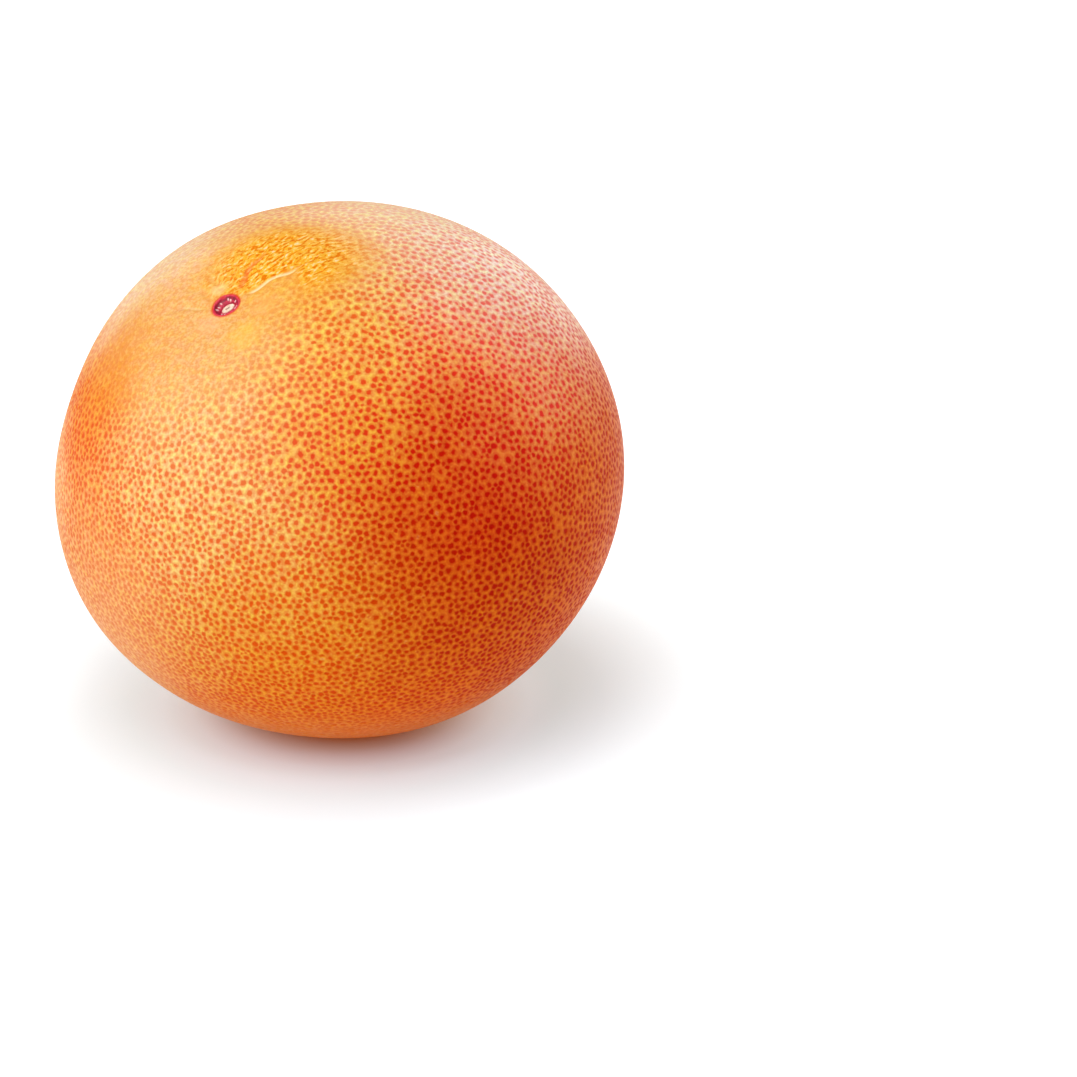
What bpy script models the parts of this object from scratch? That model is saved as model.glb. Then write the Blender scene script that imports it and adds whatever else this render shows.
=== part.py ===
# A whole red grapefruit as it settles on a table: one solid, with its stem end tipped up to one side.
# It carries the round scar that its stalk left, the shallow hollow and the creases that run out from
# the scar, the pitted rind, the faint ring at the blossom end and the flat spot that it rests on.
# Lengths are metres, +Z is up, and the fruit lies on z = 0 with the middle of its outline at x = y = 0.
# A place on the fruit is given by its turn about the stem axis and by how far it is across from that axis.

import math
import random

import bmesh
import bpy
from mathutils import Matrix, Vector

# The body: a flattened ball, widest round its equator
EQUATOR_RADIUS = 0.0540
POLE_RADIUS = 0.0484
STEM_TIP = math.radians(34.7)  # how far the stem end leans from upright
STEM_HEADING = math.radians(-134.1)  # the way it leans, from +X towards +Y
FLAT_SPOT_DEPTH = 0.0012  # how much of the underside the table presses flat

# It grew a little lopsided: as it lies, this share wider one way and as much flatter across that
LOPSIDED_SHARE = 0.022
WIDER_WAY = (-0.929, 0.127, 0.348)
FLATTER_WAY = (0.370, 0.318, 0.873)

# Broad rises and flats of the body, as they grew: turn about the stem axis and lean from the
# stem end in degrees, height in metres, spread in degrees
SWELLINGS = (
    (104, 39, 0.0006, 17),
    (196, 88, 0.0007, 20),
    (276, 140, 0.0006, 18),
    (160, 53, -0.0008, 17),
    (232, 125, -0.0006, 17),
    (15, 93, -0.0004, 22),
)

# Stem end: a shallow hollow with a low shoulder round it, modelled as rings of points
STEM_REACH = 0.0170  # how far across the rings go
STEM_SECTORS = 48
HOLLOW_DEPTH = 0.0011
HOLLOW_RADIUS = 0.0085
SHOULDER_HEIGHT = 0.0004
SHOULDER_RADIUS = 0.0185
SHOULDER_WIDTH = 0.0065

# Creases out from the scar: turn in degrees, reach and depth in metres
STEM_CREASES = (
    (15, 0.0180, 0.00060),
    (37, 0.0120, 0.00030),
    (53, 0.0170, 0.00050),
    (75, 0.0140, 0.00035),
    (98, 0.0160, 0.00045),
    (127, 0.0130, 0.00030),
    (157, 0.0140, 0.00040),
    (195, 0.0100, 0.00025),
    (240, 0.0110, 0.00025),
    (285, 0.0095, 0.00020),
    (337, 0.0120, 0.00030),
)
CREASE_HALF_WIDTH = 0.0008
CREASE_START = 0.0026  # distance across where a crease begins
CREASE_FULL = 0.0058  # and where it has its full depth
CREASE_FADE = 0.6  # share of its reach where it starts to run out

# The scar: a round pit, from its lip to its core, as distance across and depth below the skin
STEM_SCAR = ((0.0027, 0.0001), (0.0022, 0.0008), (0.0014, 0.0010), (0.0010, 0.0008))
STEM_SCAR_MIDDLE_DEPTH = 0.0009

# Blossom end: a ring about a low knob, with the dot that the flower's style left
BLOSSOM_REACH = 0.0085
BLOSSOM_SECTORS = 24
BLOSSOM_RING_RADIUS = 0.0060
BLOSSOM_RING_WIDTH = 0.0022
BLOSSOM_RING_DEPTH = 0.0005
BLOSSOM_SCAR = ((0.0011, 0.0001), (0.0007, 0.0004))
BLOSSOM_SCAR_MIDDLE_DEPTH = 0.0004

RING_SHRINK = 0.80  # each ring of an end is this share of the one outside it
SCAR_CLEARANCE = 1.1  # the last plain ring stays this many scar radii out

# Pits of the rind, drawn wider apart and deeper than the real oil glands
PIT_COUNT = 640
PIT_FLOOR = 50  # how far each pit's flat floor reaches towards its rim, in percent
PIT_SHALLOWEST = 0.00015
PIT_DEEPEST = 0.00050
RIM_UNEVENNESS = 0.00018  # the rims between pits lie up to this much low
PIT_JITTER = 0.30  # share of the distance between pits
PIT_CLEARANCE = 0.6  # share of that distance, left clear outside an end's rings
PIT_EVENING_ROUNDS = 2
PIT_FADE = 0.0090  # the pits deepen over this much outside an end's rings
SEED = 12  # for the disorder of the pits

PEEL_COLOUR = (0.86, 0.30, 0.05, 1.0)
PEEL_ROUGHNESS = 0.42


def smooth_step(low, high, value):
    share = min(1.0, max(0.0, (value - low) / (high - low)))
    return share * share * (3 - 2 * share)


def hump(value, middle, width):
    return math.exp(-(((value - middle) / width) ** 2))


def direction(turn, lean):
    """The unit vector at this turn about the stem axis and this lean from the stem end."""
    return Vector((math.sin(lean) * math.cos(turn), math.sin(lean) * math.sin(turn), math.cos(lean)))


def end_direction(turn, across, end):
    """The unit vector this far across from the axis, near the stem end (1) or the blossom end (-1)."""
    way = direction(turn, math.asin(across / EQUATOR_RADIUS))
    way.z *= end
    return way


def distance_across(way):
    return EQUATOR_RADIUS * math.hypot(way.x, way.y)


def swelling_rise(way):
    rise = 0.0
    for turn, lean, height, spread in SWELLINGS:
        middle = direction(math.radians(turn), math.radians(lean))
        rise += height * hump(way.angle(middle), 0.0, math.radians(spread))
    return rise


def crease_drop(turn, across):
    drop = 0.0
    for crease_turn, reach, depth in STEM_CREASES:
        off = turn - math.radians(crease_turn)
        if math.cos(off) > 0:
            opens = smooth_step(CREASE_START, CREASE_FULL, across)
            closes = 1 - smooth_step(reach * CREASE_FADE, reach, across)
            drop += depth * opens * closes * hump(across * math.sin(off), 0.0, CREASE_HALF_WIDTH)
    return drop


def end_rise(way):
    across = distance_across(way)
    if way.z < 0:
        return -BLOSSOM_RING_DEPTH * hump(across, BLOSSOM_RING_RADIUS, BLOSSOM_RING_WIDTH)
    hollow = HOLLOW_DEPTH * hump(across, 0.0, HOLLOW_RADIUS)
    shoulder = SHOULDER_HEIGHT * hump(across, SHOULDER_RADIUS, SHOULDER_WIDTH)
    return shoulder - hollow - crease_drop(math.atan2(way.y, way.x), across)


def skin_point(way, sunk):
    """Where the skin lies in this direction from the fruit's middle, with its stem end towards +Z."""
    body = Vector((way.x * EQUATOR_RADIUS, way.y * EQUATOR_RADIUS, way.z * POLE_RADIUS))
    return body + way * (swelling_rise(way) + end_rise(way) - sunk)


def pit_directions(chance):
    """A golden spiral of directions with a little disorder, so that no rows show."""
    golden_angle = math.pi * (3 - math.sqrt(5))
    spacing = math.sqrt(4 * math.pi / PIT_COUNT)
    for number in range(PIT_COUNT):
        lean = math.acos(1 - (2 * number + 1) / PIT_COUNT)
        aside = Vector([chance.uniform(-1, 1) * PIT_JITTER * spacing for _ in range(3)])
        way = (direction(number * golden_angle, lean) + aside).normalized()
        reach = STEM_REACH if way.z > 0 else BLOSSOM_REACH
        if distance_across(way) > reach + EQUATOR_RADIUS * spacing * PIT_CLEARANCE:
            yield way


def by_place(verts):
    """The hull and what follows it list their points in any order, so each run sorts them alike."""
    return sorted(verts, key=lambda vert: tuple(vert.co))


def even_out(verts):
    """Moves each point of a net on the unit ball to the middle of its neighbours."""
    middles = []
    for vert in verts:
        neighbours = by_place(edge.other_vert(vert) for edge in vert.link_edges)
        middles.append(sum((other.co for other in neighbours), Vector()).normalized())
    for vert, middle in zip(verts, middles):
        vert.co = middle


def pit_depth(way, chance):
    reach = STEM_REACH if way.z > 0 else BLOSSOM_REACH
    shown = smooth_step(reach, reach + PIT_FADE, distance_across(way))
    return shown * chance.uniform(PIT_SHALLOWEST, PIT_DEEPEST)


def raise_rims(net, pits):
    """Puts a corner amid each three points and joins the corners into a rim round each pit that has
    pits on all its sides. Returns those pits and the corners."""
    every = set(pits)
    rimmed = [pit for pit in pits if every.issuperset(edge.other_vert(pit) for edge in pit.link_edges)]
    inside = set(rimmed)
    spokes = [edge for edge in net.edges if not inside.isdisjoint(edge.verts)]
    corners = bmesh.ops.poke(net, faces=net.faces[:])["verts"]
    bmesh.ops.rotate_edges(net, edges=spokes)
    return rimmed, corners


def widen_pits(net, sunk, pits, chance):
    """Opens the point of each pit into a small floor and sinks it."""
    opened = bmesh.ops.bevel(
        net, geom=pits, offset=PIT_FLOOR, offset_type="PERCENT", affect="VERTICES", segments=1
    )
    for floor in sorted(opened["faces"], key=lambda face: tuple(face.calc_center_median())):
        depth = pit_depth(floor.calc_center_median(), chance)
        for vert in floor.verts:
            vert[sunk] = depth


def add_end_border(net, end, reach, points):
    return [net.verts.new(end_direction(2 * math.pi * n / points, reach, end)) for n in range(points)]


def open_end(net, border):
    """Takes away the faces that span a border, so that its end can be modelled."""
    border = set(border)
    bmesh.ops.delete(net, geom=[f for f in net.faces if border.issuperset(f.verts)], context="FACES")


def open_edges(net, end):
    return [e for e in net.edges if e.is_boundary and e.verts[0].co.z * end > 0]


def end_rings(reach, scar):
    """How far across each ring of an end lies and how deep it is sunk, from the outermost inwards."""
    rings = []
    across = reach * RING_SHRINK
    while across > scar[0][0] * SCAR_CLEARANCE:
        rings.append((across, 0.0))
        across *= RING_SHRINK
    return rings + list(scar)


def fill_end(net, sunk, end, reach, scar, middle_depth):
    """Extrudes an end's border inwards, ring by ring, down into its scar, and closes the middle."""
    for across, depth in end_rings(reach, scar):
        grown = bmesh.ops.extrude_edge_only(net, edges=open_edges(net, end))["geom"]
        for vert in [item for item in grown if isinstance(item, bmesh.types.BMVert)]:
            vert.co = end_direction(math.atan2(vert.co.y, vert.co.x), across, end)
            vert[sunk] = depth
    last = bmesh.ops.contextual_create(net, geom=open_edges(net, end))["faces"]
    for middle in bmesh.ops.poke(net, faces=last)["verts"]:
        middle[sunk] = middle_depth


def make_skin():
    """The closed skin, stem end up: a net on the unit ball, then each point moved out to the skin."""
    chance = random.Random(SEED)
    net = bmesh.new()
    sunk = net.verts.layers.float.new("sunk")
    pits = [net.verts.new(way) for way in pit_directions(chance)]
    stem_border = add_end_border(net, 1, STEM_REACH, STEM_SECTORS)
    blossom_border = add_end_border(net, -1, BLOSSOM_REACH, BLOSSOM_SECTORS)
    bmesh.ops.convex_hull(net, input=net.verts[:])
    open_end(net, stem_border)
    open_end(net, blossom_border)
    for _ in range(PIT_EVENING_ROUNDS):
        even_out(pits)
    rimmed, corners = raise_rims(net, pits)
    for corner in by_place(corners):
        corner[sunk] = chance.uniform(0.0, RIM_UNEVENNESS)
    widen_pits(net, sunk, rimmed, chance)
    fill_end(net, sunk, 1, STEM_REACH, STEM_SCAR, STEM_SCAR_MIDDLE_DEPTH)
    fill_end(net, sunk, -1, BLOSSOM_REACH, BLOSSOM_SCAR, BLOSSOM_SCAR_MIDDLE_DEPTH)
    for vert in net.verts:
        vert.co = skin_point(vert.co.normalized(), vert[sunk])
    bmesh.ops.recalc_face_normals(net, faces=net.faces)
    return net


def lean_of_fruit():
    """The turn that leans the fruit's stem end over, without twisting it about its own axis."""
    heading = Matrix.Rotation(STEM_HEADING, 4, "Z")
    return heading @ Matrix.Rotation(STEM_TIP, 4, "Y") @ heading.inverted()


def lopsided_growth():
    wider = Matrix.Scale(1 + LOPSIDED_SHARE, 4, WIDER_WAY)
    return wider @ Matrix.Scale(1 - LOPSIDED_SHARE, 4, FLATTER_WAY)


def set_down(skin):
    """Leans the fruit and brings the middle of its outline over the origin, its lowest point just below."""
    bmesh.ops.transform(skin, matrix=lopsided_growth() @ lean_of_fruit(), verts=skin.verts)
    low = [min(v.co[axis] for v in skin.verts) for axis in range(3)]
    high = [max(v.co[axis] for v in skin.verts) for axis in range(3)]
    shift = Vector((-(low[0] + high[0]) / 2, -(low[1] + high[1]) / 2, -low[2] - FLAT_SPOT_DEPTH))
    bmesh.ops.translate(skin, vec=shift, verts=skin.verts)


def press_flat_spot(skin):
    """Cuts the underside level at z = 0 and closes it with one flat face."""
    everything = skin.verts[:] + skin.edges[:] + skin.faces[:]
    cut = bmesh.ops.bisect_plane(
        skin, geom=everything, plane_co=(0, 0, 0), plane_no=(0, 0, -1), clear_outer=True
    )
    rim = [item for item in cut["geom_cut"] if isinstance(item, bmesh.types.BMEdge)]
    bmesh.ops.contextual_create(skin, geom=rim)


def make_peel_material():
    peel = bpy.data.materials.new("peel")
    peel.use_nodes = True
    shader = peel.node_tree.nodes["Principled BSDF"]
    shader.inputs["Base Color"].default_value = PEEL_COLOUR
    shader.inputs["Roughness"].default_value = PEEL_ROUGHNESS
    shader.inputs["Metallic"].default_value = 0.0
    return peel


def make_grapefruit():
    skin = make_skin()
    set_down(skin)
    press_flat_spot(skin)
    mesh = bpy.data.meshes.new("grapefruit")
    skin.to_mesh(mesh)
    skin.free()
    mesh.materials.append(make_peel_material())
    mesh.shade_smooth()
    fruit = bpy.data.objects.new("grapefruit", mesh)
    bpy.context.scene.collection.objects.link(fruit)


def main():
    for old in list(bpy.data.objects):
        bpy.data.objects.remove(old)
    make_grapefruit()


main()
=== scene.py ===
import math

import bmesh
import bpy
import numpy as np
from mathutils import Matrix, Vector, noise


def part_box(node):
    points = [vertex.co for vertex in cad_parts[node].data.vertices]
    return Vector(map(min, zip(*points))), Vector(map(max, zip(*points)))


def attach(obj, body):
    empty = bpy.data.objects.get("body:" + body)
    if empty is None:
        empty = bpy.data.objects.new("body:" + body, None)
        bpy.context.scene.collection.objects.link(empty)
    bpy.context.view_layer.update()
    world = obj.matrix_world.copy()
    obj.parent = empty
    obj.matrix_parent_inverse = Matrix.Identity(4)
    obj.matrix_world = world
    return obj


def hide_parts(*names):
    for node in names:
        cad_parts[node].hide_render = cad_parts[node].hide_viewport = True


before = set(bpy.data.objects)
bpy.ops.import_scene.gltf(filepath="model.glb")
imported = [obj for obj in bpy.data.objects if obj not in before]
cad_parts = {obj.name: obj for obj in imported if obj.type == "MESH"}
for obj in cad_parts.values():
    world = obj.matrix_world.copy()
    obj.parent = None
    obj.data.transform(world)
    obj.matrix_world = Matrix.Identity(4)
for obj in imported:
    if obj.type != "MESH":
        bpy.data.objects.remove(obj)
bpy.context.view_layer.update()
print("frame loaded")

# The fruit is worked out stem end up, as directions from its middle, and then laid down as it rests.
body = {
    "equatorRadius": 0.0540,
    "poleRadius": 0.0484,
    "stemTip": 34.7,  # degrees that the stem end leans from upright
    "stemHeading": -134.1,  # degrees, the way it leans, from +X towards +Y
    # as it lies, it is this share wider one way and as much flatter across that
    "lopsidedShare": 0.022,
    "widerWay": (-0.929, 0.127, 0.348),
    "flatterWay": (0.370, 0.318, 0.873),
    "flatSpotDepth": 0.0012,
    "flatSpotEdge": 0.00025,  # softness of its edge
    # broad rises and flats: turn, lean, height in metres, spread
    "swellings": (
        (104, 39, 0.0006, 17),
        (196, 88, 0.0007, 20),
        (276, 140, 0.0006, 18),
        (160, 53, -0.0008, 17),
        (232, 125, -0.0006, 17),
        (15, 93, -0.0004, 22),
    ),
    "hollowDepth": 0.0011,  # the dish that the scar sits in
    "hollowRadius": 0.0085,
    "shoulderHeight": 0.0004,
    "shoulderRadius": 0.0185,
    "shoulderWidth": 0.0065,
    "blossomRingRadius": 0.0060,
    "blossomRingWidth": 0.0022,
    "blossomRingDepth": 0.0005,
    "samples": 60000,  # directions that its reach is measured in
    "sideShare": 0.9995,  # of the CAD fruit's sides that the plain skin fills
    "topShare": 0.9998,  # and of its height
}


def smoothStep(low, high, value):
    share = np.clip((value - low) / (high - low), 0.0, 1.0)
    return share * share * (3 - 2 * share)


def hump(value, middle, width):
    return np.exp(-(((value - middle) / width) ** 2))


def wayAt(turn, lean):  # degrees to a direction, stem end up
    turn, lean = math.radians(turn), math.radians(lean)
    return np.array((math.sin(lean) * math.cos(turn), math.sin(lean) * math.sin(turn), math.cos(lean)))


def acrossOf(ways):
    return body["equatorRadius"] * np.hypot(ways[:, 0], ways[:, 1])


def swellingRise(ways):
    rise = np.zeros(len(ways))
    for turn, lean, height, spread in body["swellings"]:
        angle = np.arccos(np.clip(ways @ wayAt(turn, lean), -1, 1))
        rise += height * hump(angle, 0.0, math.radians(spread))
    return rise


def endRise(ways):
    across = acrossOf(ways)
    hollow = body["hollowDepth"] * hump(across, 0.0, body["hollowRadius"])
    shoulder = body["shoulderHeight"] * hump(across, body["shoulderRadius"], body["shoulderWidth"])
    ring = body["blossomRingDepth"] * hump(across, body["blossomRingRadius"], body["blossomRingWidth"])
    return np.where(ways[:, 2] > 0, shoulder - hollow, -ring)


def skinPoints(ways, raised):
    ovals = np.array((body["equatorRadius"], body["equatorRadius"], body["poleRadius"]))
    return ways * ovals + ways * (swellingRise(ways) + endRise(ways) + raised)[:, None]


def leanMatrix():
    heading = Matrix.Rotation(math.radians(body["stemHeading"]), 3, "Z")
    tip = Matrix.Rotation(math.radians(body["stemTip"]), 3, "Y")
    wider = Matrix.Scale(1 + body["lopsidedShare"], 3, body["widerWay"])
    flatter = Matrix.Scale(1 - body["lopsidedShare"], 3, body["flatterWay"])
    return np.array(wider @ flatter @ heading @ tip @ heading.inverted())


def placing():  # share and shift that set the plain skin inside the CAD fruit
    count = body["samples"]
    steps = np.arange(count)
    lean = np.arccos(1 - (2 * steps + 1) / count)
    turn = steps * math.pi * (3 - math.sqrt(5))
    ways = np.stack((np.sin(lean) * np.cos(turn), np.sin(lean) * np.sin(turn), np.cos(lean)), axis=1)
    points = skinPoints(ways, np.zeros(count)) @ leanMatrix().T
    low, high = points.min(axis=0), points.max(axis=0)
    cadLow, cadHigh = (np.array(corner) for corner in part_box("grapefruit"))
    sides = (high - low) - np.array((0, 0, body["flatSpotDepth"]))
    share = min(1.0, float(((cadHigh - cadLow) / sides).min())) * body["sideShare"]
    shift = -(low + high) / 2 * share
    shift[2] = cadHigh[2] * body["topShare"] - high[2] * share
    return share, shift


fruitShare, fruitShift = placing()


def layDown(points):  # leans the fruit over, sets it in place and presses its flat spot
    placed = points @ leanMatrix().T * fruitShare + fruitShift
    edge = body["flatSpotEdge"]
    height = placed[:, 2]
    soft = (height + edge) ** 2 / (4 * edge)
    placed[:, 2] = np.where(height > edge, height, np.where(height < -edge, 0.0, soft))
    return placed


def addNode(tree, kind, inputs=None, **settings):
    node = tree.nodes.new(kind)
    for name, value in settings.items():
        setattr(node, name, value)
    for key, value in (inputs or {}).items():
        if isinstance(value, bpy.types.NodeSocket):
            tree.links.new(value, node.inputs[key])
        else:
            node.inputs[key].default_value = value
    return node


def mathNode(tree, operation, *values):
    return addNode(tree, "ShaderNodeMath", dict(enumerate(values)), operation=operation).outputs[0]


def product(tree, first, *others):
    for value in others:
        first = mathNode(tree, "MULTIPLY", first, value)
    return first


def vectorNode(tree, operation, *values):
    node = addNode(tree, "ShaderNodeVectorMath", dict(enumerate(values)), operation=operation)
    return node.outputs["Value" if operation in {"LENGTH", "DOT_PRODUCT", "DISTANCE"} else "Vector"]


def scaled(tree, vector, share):
    return addNode(tree, "ShaderNodeVectorMath", {0: vector, "Scale": share}, operation="SCALE").outputs[0]


def attribute(tree, name, part="Fac"):
    return addNode(tree, "ShaderNodeAttribute", attribute_name=name, attribute_type="GEOMETRY").outputs[part]


def noiseNode(tree, vector, scale, detail, **others):
    inputs = {"Vector": vector, "Scale": scale, "Detail": detail, **others}
    return addNode(tree, "ShaderNodeTexNoise", inputs).outputs


def rangeNode(tree, value, low, high, toLow=0.0, toHigh=1.0):
    inputs = {"Value": value, "From Min": low, "From Max": high, "To Min": toLow, "To Max": toHigh}
    return addNode(tree, "ShaderNodeMapRange", inputs, interpolation_type="SMOOTHSTEP").outputs[0]


def mixNode(tree, share, first, second):
    inputs = {0: share, 6: first, 7: second}
    return addNode(tree, "ShaderNodeMix", inputs, data_type="RGBA").outputs[2]


def screenColour(red, green, blue):  # 0 to 255 as seen, to the light values that a shader takes
    shares = (value / 255 for value in (red, green, blue))
    return tuple(s / 12.92 if s <= 0.04045 else ((s + 0.055) / 1.055) ** 2.4 for s in shares)


def paint(tone):  # the same with the fourth value that a colour socket takes
    return (*screenColour(*tone), 1)


def addSockets(tree, way, sockets):
    for name, kind in sockets.items():
        tree.interface.new_socket(name, in_out=way, socket_type="NodeSocket" + kind)


def setInput(modifier, name, value):
    for item in modifier.node_group.interface.items_tree:
        if item.item_type == "SOCKET" and item.in_out == "INPUT" and item.name == name:
            modifier[item.identifier] = value


# The rind: one cell of skin for each oil gland, the stronger glands with a sunk pore
rind = {
    "glandGap": 0.0212,  # least distance between glands, on a ball of radius 1
    "most": 12000.0,  # glands to an area of 1, before the gap thins them out
    "ballCuts": 6,
    "crowdedWay": (-0.50, -0.55, -0.67),  # the side where the glands lie closer, as the fruit rests
    "crowding": 0.13,
    "evening": 4,  # rounds of evening out
    "seed": 7,
    "poreShare": 0.46,  # share of the glands whose pore is modelled
    "poreRadius": 0.0064,
    "poreSizes": (0.6, 0.5),  # share of that radius on the weakest gland, and what strength adds
    "poreRoom": 1.9,  # pore radii that a gland needs about it
    "cornerShare": 0.62,  # how far out a pore may reach towards its cell's corners
    "fewestCorners": 4.5,
    "poreDepth": 0.00013,
    "stemReach": 0.0215,  # the skin is finer within this distance across from the stem axis
    "finerShare": 0.97,
    "scarReach": 0.0042,  # and finer still here
    "blossomReach": 0.0030,
    "blossomClear": 0.09,  # no pores this near the blossom end, on the ball of radius 1
    "blossomDot": (0.0004, 0.0012),  # the dot's pit: flat floor and edge, across from the axis
    "blossomDotDepth": 0.0004,
    # where the painted dots show: hardly in the smooth skin, on the plane across the stem axis
    "smoothMiddle": (-0.0060, 0.0020),
    "smoothReach": (0.0120, 0.0270),
    "faintDots": 0.20,  # what is left of them there
    "faintFrom": (0.006, 0.012),  # but nothing nearer to the axis
    "wrinklesHide": 0.8,  # share of them lost among the wrinkles
    "blossomFade": (0.0015, 0.006),
    "underneath": 0.12,  # what is left of them at the foot
    "underFade": (0.005, 0.019),  # heights
}


def glandTree():
    tree = bpy.data.node_groups.new("gland cells", "GeometryNodeTree")
    takes = {
        "Geometry": "Geometry",
        "Gland gap": "Float",
        "Crowding": "Vector",
        "Evening": "Int",
        "Seed": "Int",
        "Pore share": "Float",
        "Pore radius": "Float",
        "Stem reach": "Float",
        "Millimetres": "Float",
        "Peel": "Material",
    }
    addSockets(tree, "INPUT", takes)
    addSockets(tree, "OUTPUT", {"Geometry": "Geometry"})
    given = tree.nodes.new("NodeGroupInput").outputs
    position = tree.nodes.new("GeometryNodeInputPosition").outputs[0]
    onBall = vectorNode(tree, "NORMALIZE", position)

    def store(geometry, domain, kind, name, value, selection=None):
        inputs = {"Geometry": geometry, "Name": name, "Value": value}
        if selection is not None:
            inputs["Selection"] = selection
        node = addNode(tree, "GeometryNodeStoreNamedAttribute", inputs, domain=domain, data_type=kind)
        return node.outputs[0]

    def named(kind, name):
        return addNode(tree, "GeometryNodeInputNamedAttribute", {"Name": name}, data_type=kind).outputs[0]

    def moved(geometry, to, selection=None):
        inputs = {"Geometry": geometry, "Position": to}
        if selection is not None:
            inputs["Selection"] = selection
        return addNode(tree, "GeometryNodeSetPosition", inputs).outputs[0]

    def above(value, limit):
        return mathNode(tree, "GREATER_THAN", value, limit)

    # points spread over the ball, joined into a net and evened out
    ball = {"Radius": 1.0, "Subdivisions": rind["ballCuts"]}
    ball = addNode(tree, "GeometryNodeMeshIcoSphere", ball).outputs[0]
    spread = addNode(
        tree,
        "GeometryNodeDistributePointsOnFaces",
        {
            "Mesh": ball,
            "Distance Min": given["Gland gap"],
            "Density Max": rind["most"],
            "Seed": given["Seed"],
        },
        distribute_method="POISSON",
    ).outputs["Points"]
    crowded = vectorNode(tree, "NORMALIZE", vectorNode(tree, "ADD", onBall, given["Crowding"]))
    net = addNode(tree, "GeometryNodeConvexHull", {"Geometry": moved(spread, crowded)}).outputs[0]
    blurred = addNode(
        tree,
        "GeometryNodeBlurAttribute",
        {"Value": position, "Iterations": given["Evening"]},
        data_type="FLOAT_VECTOR",
    ).outputs[0]
    net = moved(net, vectorNode(tree, "NORMALIZE", blurred))
    chance = addNode(tree, "FunctionNodeRandomValue", {"Seed": given["Seed"]}, data_type="FLOAT").outputs[1]
    net = store(net, "POINT", "FLOAT_VECTOR", "glandMiddle", position)
    net = store(net, "POINT", "FLOAT", "glandStrength", chance)

    # each point of the net becomes a cell of skin
    cells = moved(addNode(tree, "GeometryNodeDualMesh", {"Mesh": net}).outputs[0], onBall)
    area = tree.nodes.new("GeometryNodeInputMeshFaceArea").outputs["Area"]
    room = mathNode(tree, "SQRT", mathNode(tree, "DIVIDE", area, math.pi))
    cells = store(cells, "FACE", "FLOAT", "glandRoom", product(tree, room, given["Millimetres"]))

    # the stronger glands, where there is room and away from both ends, get a ring of their own for the pore
    room = mathNode(tree, "DIVIDE", named("FLOAT", "glandRoom"), given["Millimetres"])
    middle = named("FLOAT_VECTOR", "glandMiddle")
    strength = named("FLOAT", "glandStrength")
    strong = above(strength, mathNode(tree, "SUBTRACT", 1.0, given["Pore share"]))
    corners = tree.nodes.new("GeometryNodeCornersOfFace").outputs["Total"]
    ample = above(room, product(tree, given["Pore radius"], rind["poreRoom"]))
    roomy = product(tree, above(corners, rind["fewestCorners"]), ample)
    flat = vectorNode(tree, "LENGTH", vectorNode(tree, "MULTIPLY", middle, (1.0, 1.0, 0.0)))
    height = addNode(tree, "ShaderNodeSeparateXYZ", {0: middle}).outputs["Z"]
    below = product(tree, mathNode(tree, "LESS_THAN", height, 0.0), above(flat, rind["blossomClear"]))
    away = mathNode(tree, "MAXIMUM", above(flat, given["Stem reach"]), below)
    chosen = product(tree, strong, roomy, away)
    grown = {"Mesh": cells, "Selection": chosen, "Offset Scale": 0.0, "Individual": True}
    grown = addNode(tree, "GeometryNodeExtrudeMesh", grown, mode="FACES").outputs
    least, more = rind["poreSizes"]
    reach = mathNode(tree, "ADD", least, product(tree, strength, more))
    reach = product(tree, given["Pore radius"], reach)
    limit = product(tree, vectorNode(tree, "DISTANCE", position, middle), rind["cornerShare"])
    reach = mathNode(tree, "MINIMUM", reach, limit)
    outward = vectorNode(tree, "NORMALIZE", vectorNode(tree, "SUBTRACT", position, middle))
    ring = vectorNode(tree, "NORMALIZE", vectorNode(tree, "ADD", middle, scaled(tree, outward, reach)))
    cells = moved(grown["Mesh"], ring, grown["Top"])
    cells = store(cells, "POINT", "FLOAT", "pore", 0.0)
    cells = store(cells, "POINT", "FLOAT", "pore", strength, grown["Top"])

    cells = addNode(tree, "GeometryNodeSetShadeSmooth", {"Geometry": cells}).outputs[0]
    cells = addNode(tree, "GeometryNodeRealizeInstances", {"Geometry": cells}).outputs[0]
    finish = {"Geometry": cells, "Material": given["Peel"]}
    cells = addNode(tree, "GeometryNodeSetMaterial", finish).outputs[0]
    tree.links.new(cells, tree.nodes.new("NodeGroupOutput").inputs[0])
    return tree


def cellMesh(peelMaterial):
    carrier = bpy.data.objects.new("gland carrier", bpy.data.meshes.new("gland carrier"))
    bpy.context.scene.collection.objects.link(carrier)
    modifier = carrier.modifiers.new("gland cells", "NODES")
    modifier.node_group = glandTree()
    crowded = np.linalg.inv(leanMatrix()) @ np.array(rind["crowdedWay"])
    crowded *= rind["crowding"] / np.linalg.norm(crowded)
    values = {
        "Gland gap": rind["glandGap"],
        "Crowding": crowded.tolist(),
        "Evening": rind["evening"],
        "Seed": rind["seed"],
        "Pore share": rind["poreShare"],
        "Pore radius": rind["poreRadius"],
        "Stem reach": rind["stemReach"] / body["equatorRadius"],
        "Millimetres": body["equatorRadius"] * 1000,
        "Peel": peelMaterial,
    }
    for name, value in values.items():
        setInput(modifier, name, value)
    evaluated = carrier.evaluated_get(bpy.context.evaluated_depsgraph_get())
    mesh = bpy.data.meshes.new_from_object(evaluated)
    carrier.modifiers.clear()
    bpy.data.objects.remove(carrier)
    return mesh


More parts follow.
